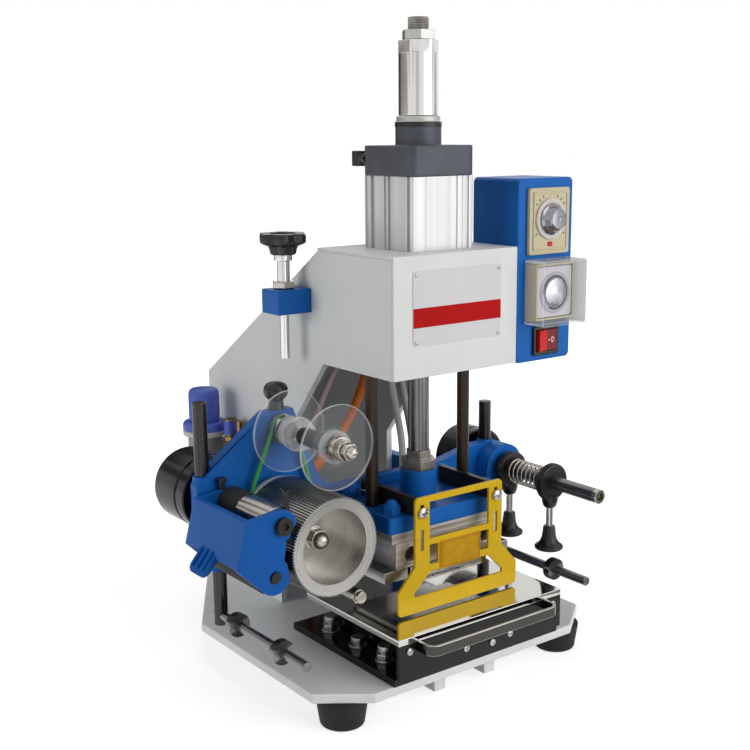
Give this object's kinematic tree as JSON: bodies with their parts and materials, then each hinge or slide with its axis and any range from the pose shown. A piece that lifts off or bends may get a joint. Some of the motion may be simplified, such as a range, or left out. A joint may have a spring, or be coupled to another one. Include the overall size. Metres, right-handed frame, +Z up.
{
  "type": "hot foil stamping machine",
  "caption": "Bench press with an air cylinder, heated stamping head, sliding table and a foil feed with toothed roller, rewind spool and sprung supply shaft.",
  "frame": {"origin": "on the bench under the middle of the machine's box", "axes": "+Z up along the press rod, -Y to the operator's side, +X to the control box"},
  "size_m": [0.4176, 0.4026, 0.6161],
  "materials": {
    "frame_paint": "light grey satin paint",
    "foot_rubber": "moulded",
    "bronze": "turned",
    "barrel_aluminium": "anodised",
    "cap_paint": "dark grey satin",
    "fitting_brass": "turned",
    "blue_paint": "blue hammer-free gloss paint",
    "bezel_plastic": "beige",
    "black_plastic": "moulded",
    "bright_steel": "ground",
    "belt_rubber": "green",
    "dark_steel": "oiled",
    "black_paint": "black gloss",
    "hose_plastic": "extruded",
    "chrome_steel": "polished",
    "board": "pressed board",
    "heater_aluminium": "milled",
    "yellow_paint": "yellow gloss",
    "clear_plastic": "clear acrylic",
    "nip_rubber": "smooth",
    "dial_aluminium": "spun",
    "red_plastic": "moulded",
    "blue_plastic": "moulded"
  },
  "bodies": {
    "machine_frame": {"base_plate": "frame_paint", "rubber_feet": "foot_rubber", "side_plates": "frame_paint", "head_cover": "frame_paint", "head_floor": "frame_paint", "guide_bushes": "bronze", "rear_cover": "frame_paint", "cylinder_barrel": "barrel_aluminium", "cylinder_caps": "cap_paint", "air_fittings": "fitting_brass", "control_box": "blue_paint", "temperature_controller": "bezel_plastic", "timer_unit": "bezel_plastic", "switch_frame": "black_plastic", "air_regulator": "cap_paint", "clamp_block": "blue_paint", "foil_arm": "blue_paint", "frame_bolts": "bright_steel", "drive_motors": "black_plastic", "drive_belt": "belt_rubber", "foil_posts": "dark_steel", "foil_rods": "dark_steel", "table_bed": "black_paint", "slide_rails": "bright_steel", "solenoid_valve": "black_plastic", "hoses_and_leads": "hose_plastic"},
    "press_head": {"piston_rod": "chrome_steel", "head_fasteners": "bright_steel", "press_guide_rods": "dark_steel", "head_plate": "blue_paint", "insulation_plate": "board", "heater_block": "heater_aluminium", "heater_cartridges": "dark_steel", "die_rails": "bright_steel", "die_plate": "bright_steel", "guard_arms": "dark_steel", "guard_plate": "yellow_paint"},
    "stroke_adjuster": {"adjuster_sleeve": "chrome_steel"},
    "work_table": {"table_top": "bright_steel", "table_carriage": "black_paint", "table_handle": "chrome_steel"},
    "feed_roller": {"feed_roller": "barrel_aluminium", "feed_shaft": "bright_steel"},
    "rewind_spool": {"rewind_discs": "clear_plastic", "rewind_shaft": "chrome_steel"},
    "nip_bracket": {"nip_bracket": "blue_paint"},
    "nip_roller": {"nip_roller": "nip_rubber"},
    "drive_roller": {"drive_roller": "bright_steel"},
    "guide_roller": {"guide_roller": "fitting_brass"},
    "foil_supply": {"supply_shaft": "dark_steel", "supply_collars": "black_plastic", "supply_spring": "chrome_steel", "thumb_screws": "black_plastic"},
    "star_screw": {"star_screw": "black_plastic"},
    "arm_knob": {"arm_knob": "black_plastic"},
    "regulator_knob": {"regulator_knob": "blue_plastic"},
    "temperature_knob": {"temperature_knob": "dial_aluminium"},
    "timer_knob": {"timer_knob": "dial_aluminium"},
    "timer_cover": {"timer_cover": "clear_plastic"},
    "power_rocker": {"power_rocker": "red_plastic"}
  },
  "joints": [
    {"name": "press_stroke", "type": "slide", "parent": "machine_frame", "child": "press_head", "axis": [0, 0, 1], "range_m": [0, 0.05]},
    {"name": "stroke_adjuster_turn", "type": "hinge", "parent": "press_head", "child": "stroke_adjuster", "pos_m": [0.03128, -0.0857, 0.56], "axis": [0, 0, 1], "continuous": true},
    {"name": "table_slide", "type": "slide", "parent": "machine_frame", "child": "work_table", "axis": [0, -1, 0], "range_m": [0, 0.06]},
    {"name": "feed_roller_turn", "type": "hinge", "parent": "machine_frame", "child": "feed_roller", "pos_m": [-0.09872, -0.0857, 0.16], "axis": [0, 1, 0], "continuous": true},
    {"name": "rewind_turn", "type": "hinge", "parent": "machine_frame", "child": "rewind_spool", "pos_m": [-0.09172, -0.0857, 0.248], "axis": [0, 1, 0], "continuous": true},
    {"name": "nip_bracket_swing", "type": "hinge", "parent": "machine_frame", "child": "nip_bracket", "pos_m": [-0.15072, -0.0857, 0.1898], "axis": [0, 1, 0], "range_deg": [0, 18], "stiffness_Nm_per_rad": 1.5, "springref_deg": -57.3},
    {"name": "nip_roller_turn", "type": "hinge", "parent": "nip_bracket", "child": "nip_roller", "pos_m": [-0.15912, -0.0857, 0.1453], "axis": [0, 1, 0], "continuous": true},
    {"name": "drive_roller_turn", "type": "hinge", "parent": "machine_frame", "child": "drive_roller", "pos_m": [-0.15072, -0.0857, 0.1898], "axis": [0, 1, 0], "continuous": true},
    {"name": "guide_roller_turn", "type": "hinge", "parent": "machine_frame", "child": "guide_roller", "pos_m": [-0.07272, -0.0857, 0.1076], "axis": [0, 1, 0], "continuous": true},
    {"name": "foil_supply_turn", "type": "hinge", "parent": "machine_frame", "child": "foil_supply", "pos_m": [0.17478, -0.0857, 0.167], "axis": [0, 1, 0], "continuous": true},
    {"name": "star_screw_turn", "type": "hinge", "parent": "machine_frame", "child": "star_screw", "pos_m": [-0.06172, 0.0013, 0.36], "axis": [0, 0, 1], "continuous": true},
    {"name": "arm_knob_turn", "type": "hinge", "parent": "machine_frame", "child": "arm_knob", "pos_m": [-0.09172, -0.0277, 0.27], "axis": [0, 0, 1], "continuous": true},
    {"name": "regulator_knob_turn", "type": "hinge", "parent": "machine_frame", "child": "regulator_knob", "pos_m": [-0.07172, 0.1473, 0.23], "axis": [0, 0, 1], "continuous": true},
    {"name": "temperature_knob_turn", "type": "hinge", "parent": "machine_frame", "child": "temperature_knob", "pos_m": [0.14128, -0.1457, 0.435], "axis": [0, -1, 0], "range_deg": [-270, 0]},
    {"name": "timer_knob_turn", "type": "hinge", "parent": "machine_frame", "child": "timer_knob", "pos_m": [0.14128, -0.1457, 0.3665], "axis": [0, -1, 0], "range_deg": [-270, 0]},
    {"name": "timer_cover_swing", "type": "hinge", "parent": "machine_frame", "child": "timer_cover", "pos_m": [0.16978, -0.1437, 0.3675], "axis": [0, 0, 1], "range_deg": [0, 85]},
    {"name": "power_rocker_tip", "type": "hinge", "parent": "machine_frame", "child": "power_rocker", "pos_m": [0.14128, -0.1387, 0.3195], "axis": [0, 0, 1], "range_deg": [-14, 0]}
  ],
  "couplings": [
    {"joint": "rewind_turn", "follows": "feed_roller_turn", "ratio": 3.547},
    {"joint": "drive_roller_turn", "follows": "feed_roller_turn", "ratio": -3.1034},
    {"joint": "nip_roller_turn", "follows": "feed_roller_turn", "ratio": -2.6685}
  ]
}
